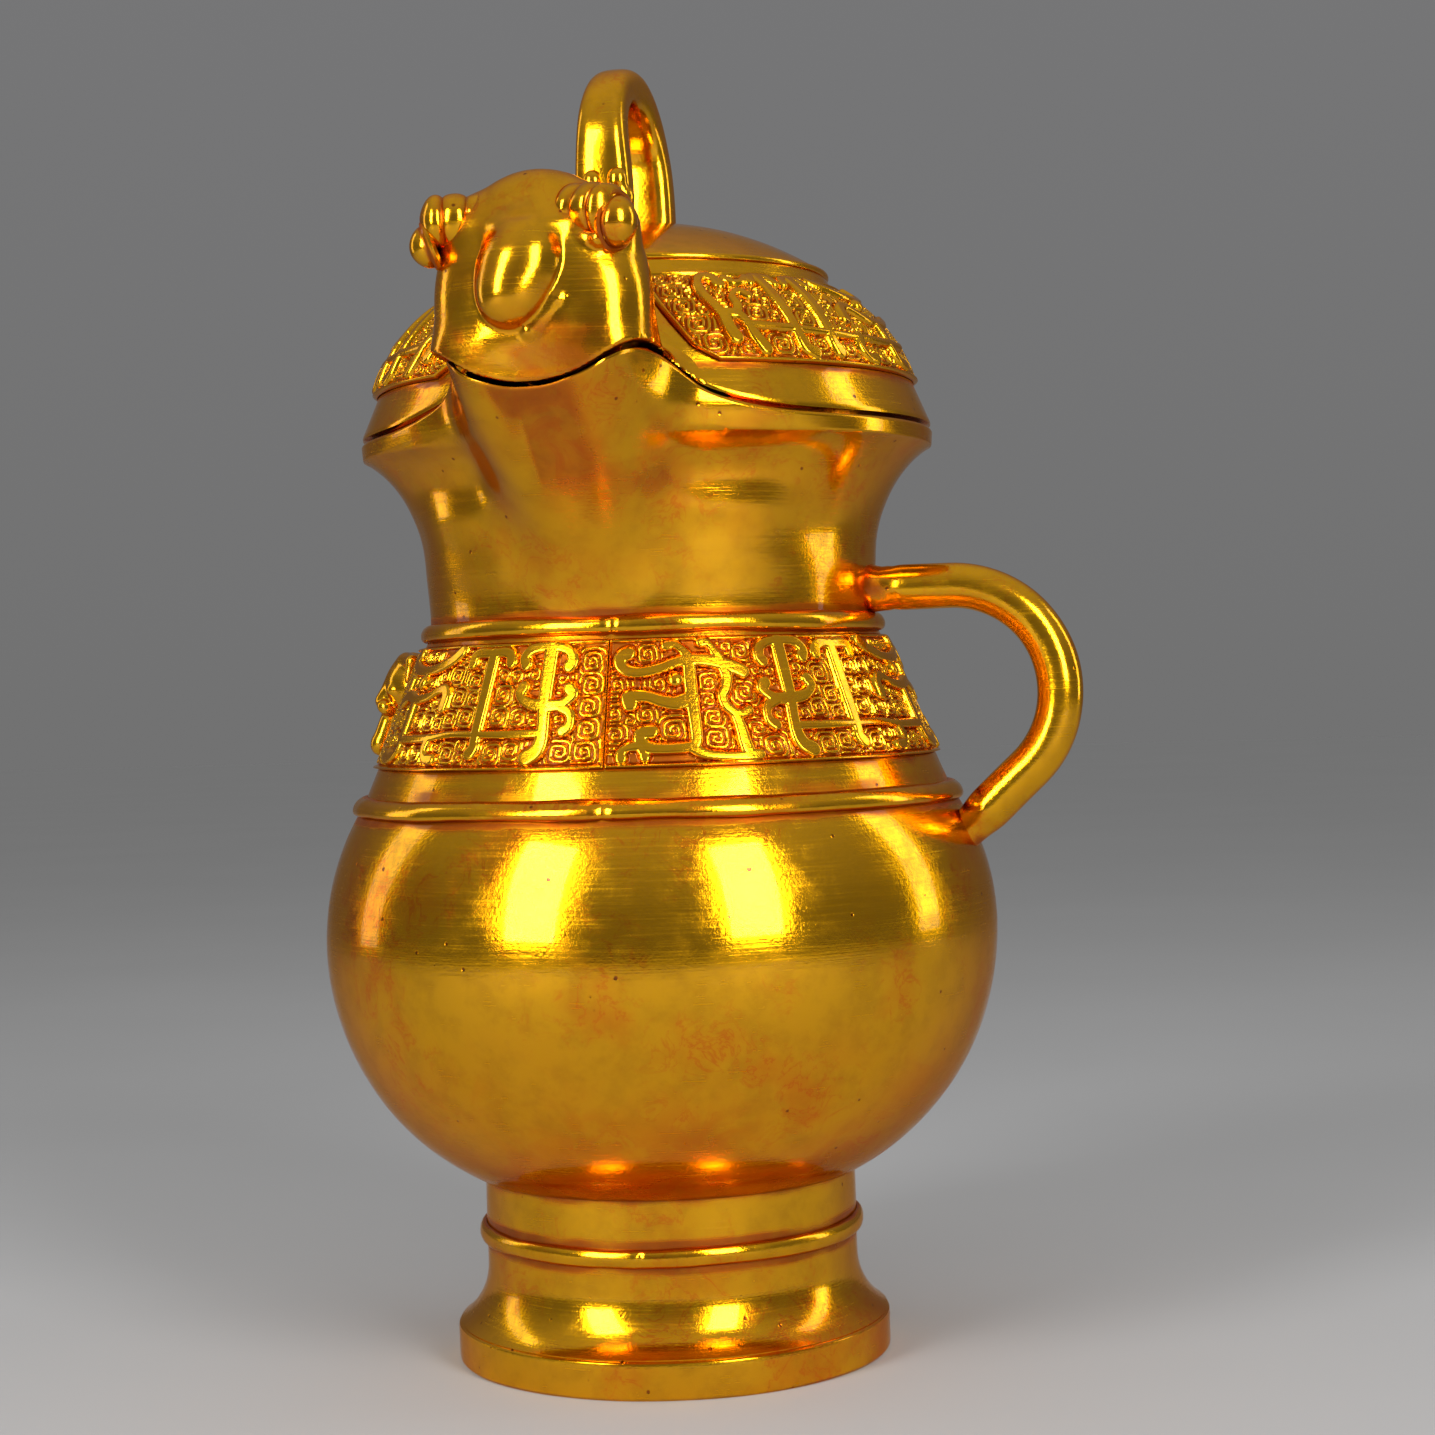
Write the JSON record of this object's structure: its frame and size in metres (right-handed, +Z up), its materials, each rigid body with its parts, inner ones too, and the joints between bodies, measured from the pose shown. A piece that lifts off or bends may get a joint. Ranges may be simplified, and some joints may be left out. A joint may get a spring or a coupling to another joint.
{
  "type": "lidded bronze hu vessel",
  "caption": "Gilt bronze hu with a round belly, ring foot, trough spout, side handle and a lift-off lid that carries an animal head and an arched bail.",
  "frame": {"origin": "centre of the foot's resting face", "axes": "+Z up along the vessel's axis, the spout points to -Y, the side handle to +X, the beast mask to -X"},
  "size_m": [0.1974, 0.1946, 0.3277],
  "materials": {
    "gilt_bronze": "polished gilding, worn to orange in the recesses",
    "relief_bronze": "gilt relief with orange-brown patina in its ground"
  },
  "bodies": {
    "vessel": {"ring_foot": "gilt_bronze", "foot_cord": "gilt_bronze", "belly_shell": "gilt_bronze", "lower_cord": "gilt_bronze", "frieze_right": "relief_bronze", "frieze_left": "relief_bronze", "upper_cord": "gilt_bronze", "neck_shell": "gilt_bronze", "side_handle": "gilt_bronze", "beast_mask": "relief_bronze"},
    "lid": {"lid_shell": "gilt_bronze", "lid_tongue": "gilt_bronze", "lid_crown": "gilt_bronze", "panel_right": "relief_bronze", "panel_left": "relief_bronze", "beast_head": "gilt_bronze", "brow_right": "gilt_bronze", "brow_left": "gilt_bronze", "eye_right": "gilt_bronze", "eye_left": "gilt_bronze", "lid_bail": "gilt_bronze"}
  },
  "joints": [
    {"name": "lid_lift", "type": "slide", "parent": "vessel", "child": "lid", "axis": [0, 0, 1], "range_m": [0, 0.1]}
  ]
}
